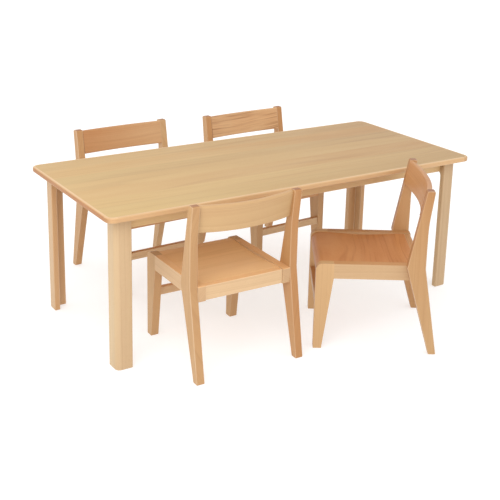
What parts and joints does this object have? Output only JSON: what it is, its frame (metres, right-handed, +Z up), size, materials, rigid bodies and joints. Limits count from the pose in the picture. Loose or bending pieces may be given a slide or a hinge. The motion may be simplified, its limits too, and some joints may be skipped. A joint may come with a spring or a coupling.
{
  "type": "children's table and chairs",
  "caption": "Low rectangular beech table on L-section legs with small matching chairs that slide out from under it.",
  "frame": {"origin": "on the floor, at the middle of the floor area that the whole set covers", "axes": "+X along the table's length, towards the end that is on the right when the pulled-out chair is nearest; +Y across it; +Z up"},
  "size_m": [1.5, 1.3568, 0.572],
  "materials": {
    "top": "satin lacquer over strip-glued beech",
    "edge": "satin lacquer over beech",
    "leg": "satin lacquer over beech",
    "apron": "satin lacquer over beech",
    "inner_wood": "bare sanded beech",
    "steel": "zinc plated",
    "seat": "satin lacquer over moulded beech",
    "backrest": "satin lacquer over bent beech",
    "chair_leg": "satin lacquer over beech",
    "rail": "satin lacquer over beech"
  },
  "bodies": {
    "table": {"tabletop_panel": "top", "corner_lippings": "edge", "corner_braces": "inner_wood", "table_fasteners": "steel", "front_edge_lipping": "edge", "back_edge_lipping": "edge", "left_edge_lipping": "edge", "right_edge_lipping": "edge", "front_apron": "apron", "back_apron": "apron", "left_apron": "apron", "right_apron": "apron", "front_left_table_leg": "leg", "front_right_table_leg": "leg", "back_left_table_leg": "leg", "back_right_table_leg": "leg"},
    "front_left_chair": {"front_left_chair_seat": "seat", "front_left_chair_backrest": "backrest", "front_left_chair_left_front_leg": "chair_leg", "front_left_chair_right_front_leg": "chair_leg", "front_left_chair_left_side_rail": "rail", "front_left_chair_right_side_rail": "rail", "front_left_chair_left_rear_leg": "chair_leg", "front_left_chair_right_rear_leg": "chair_leg", "front_left_chair_rear_rail": "rail", "front_left_chair_front_stretcher": "rail", "front_left_chair_dowels": "inner_wood"},
    "front_right_chair": {"front_right_chair_seat": "seat", "front_right_chair_backrest": "backrest", "front_right_chair_left_front_leg": "chair_leg", "front_right_chair_right_front_leg": "chair_leg", "front_right_chair_left_side_rail": "rail", "front_right_chair_right_side_rail": "rail", "front_right_chair_left_rear_leg": "chair_leg", "front_right_chair_right_rear_leg": "chair_leg", "front_right_chair_rear_rail": "rail", "front_right_chair_front_stretcher": "rail", "front_right_chair_dowels": "inner_wood"},
    "back_left_chair": {"back_left_chair_seat": "seat", "back_left_chair_backrest": "backrest", "back_left_chair_left_front_leg": "chair_leg", "back_left_chair_right_front_leg": "chair_leg", "back_left_chair_left_side_rail": "rail", "back_left_chair_right_side_rail": "rail", "back_left_chair_left_rear_leg": "chair_leg", "back_left_chair_right_rear_leg": "chair_leg", "back_left_chair_rear_rail": "rail", "back_left_chair_front_stretcher": "rail", "back_left_chair_dowels": "inner_wood"},
    "back_right_chair": {"back_right_chair_seat": "seat", "back_right_chair_backrest": "backrest", "back_right_chair_left_front_leg": "chair_leg", "back_right_chair_right_front_leg": "chair_leg", "back_right_chair_left_side_rail": "rail", "back_right_chair_right_side_rail": "rail", "back_right_chair_left_rear_leg": "chair_leg", "back_right_chair_right_rear_leg": "chair_leg", "back_right_chair_rear_rail": "rail", "back_right_chair_front_stretcher": "rail", "back_right_chair_dowels": "inner_wood"}
  },
  "joints": [
    {"name": "front_left_chair_slide", "type": "slide", "parent": "table", "child": "front_left_chair", "axis": [-0.0175, -0.9998, 0], "range_m": [-0.08, 0.3]},
    {"name": "front_right_chair_slide", "type": "slide", "parent": "table", "child": "front_right_chair", "axis": [0.8387, -0.5446, 0], "range_m": [0, 0.35]},
    {"name": "back_left_chair_slide", "type": "slide", "parent": "table", "child": "back_left_chair", "axis": [-0.0349, 0.9994, 0], "range_m": [-0.15, 0.3]},
    {"name": "back_right_chair_slide", "type": "slide", "parent": "table", "child": "back_right_chair", "axis": [-0.0523, 0.9986, 0], "range_m": [-0.15, 0.3]}
  ]
}
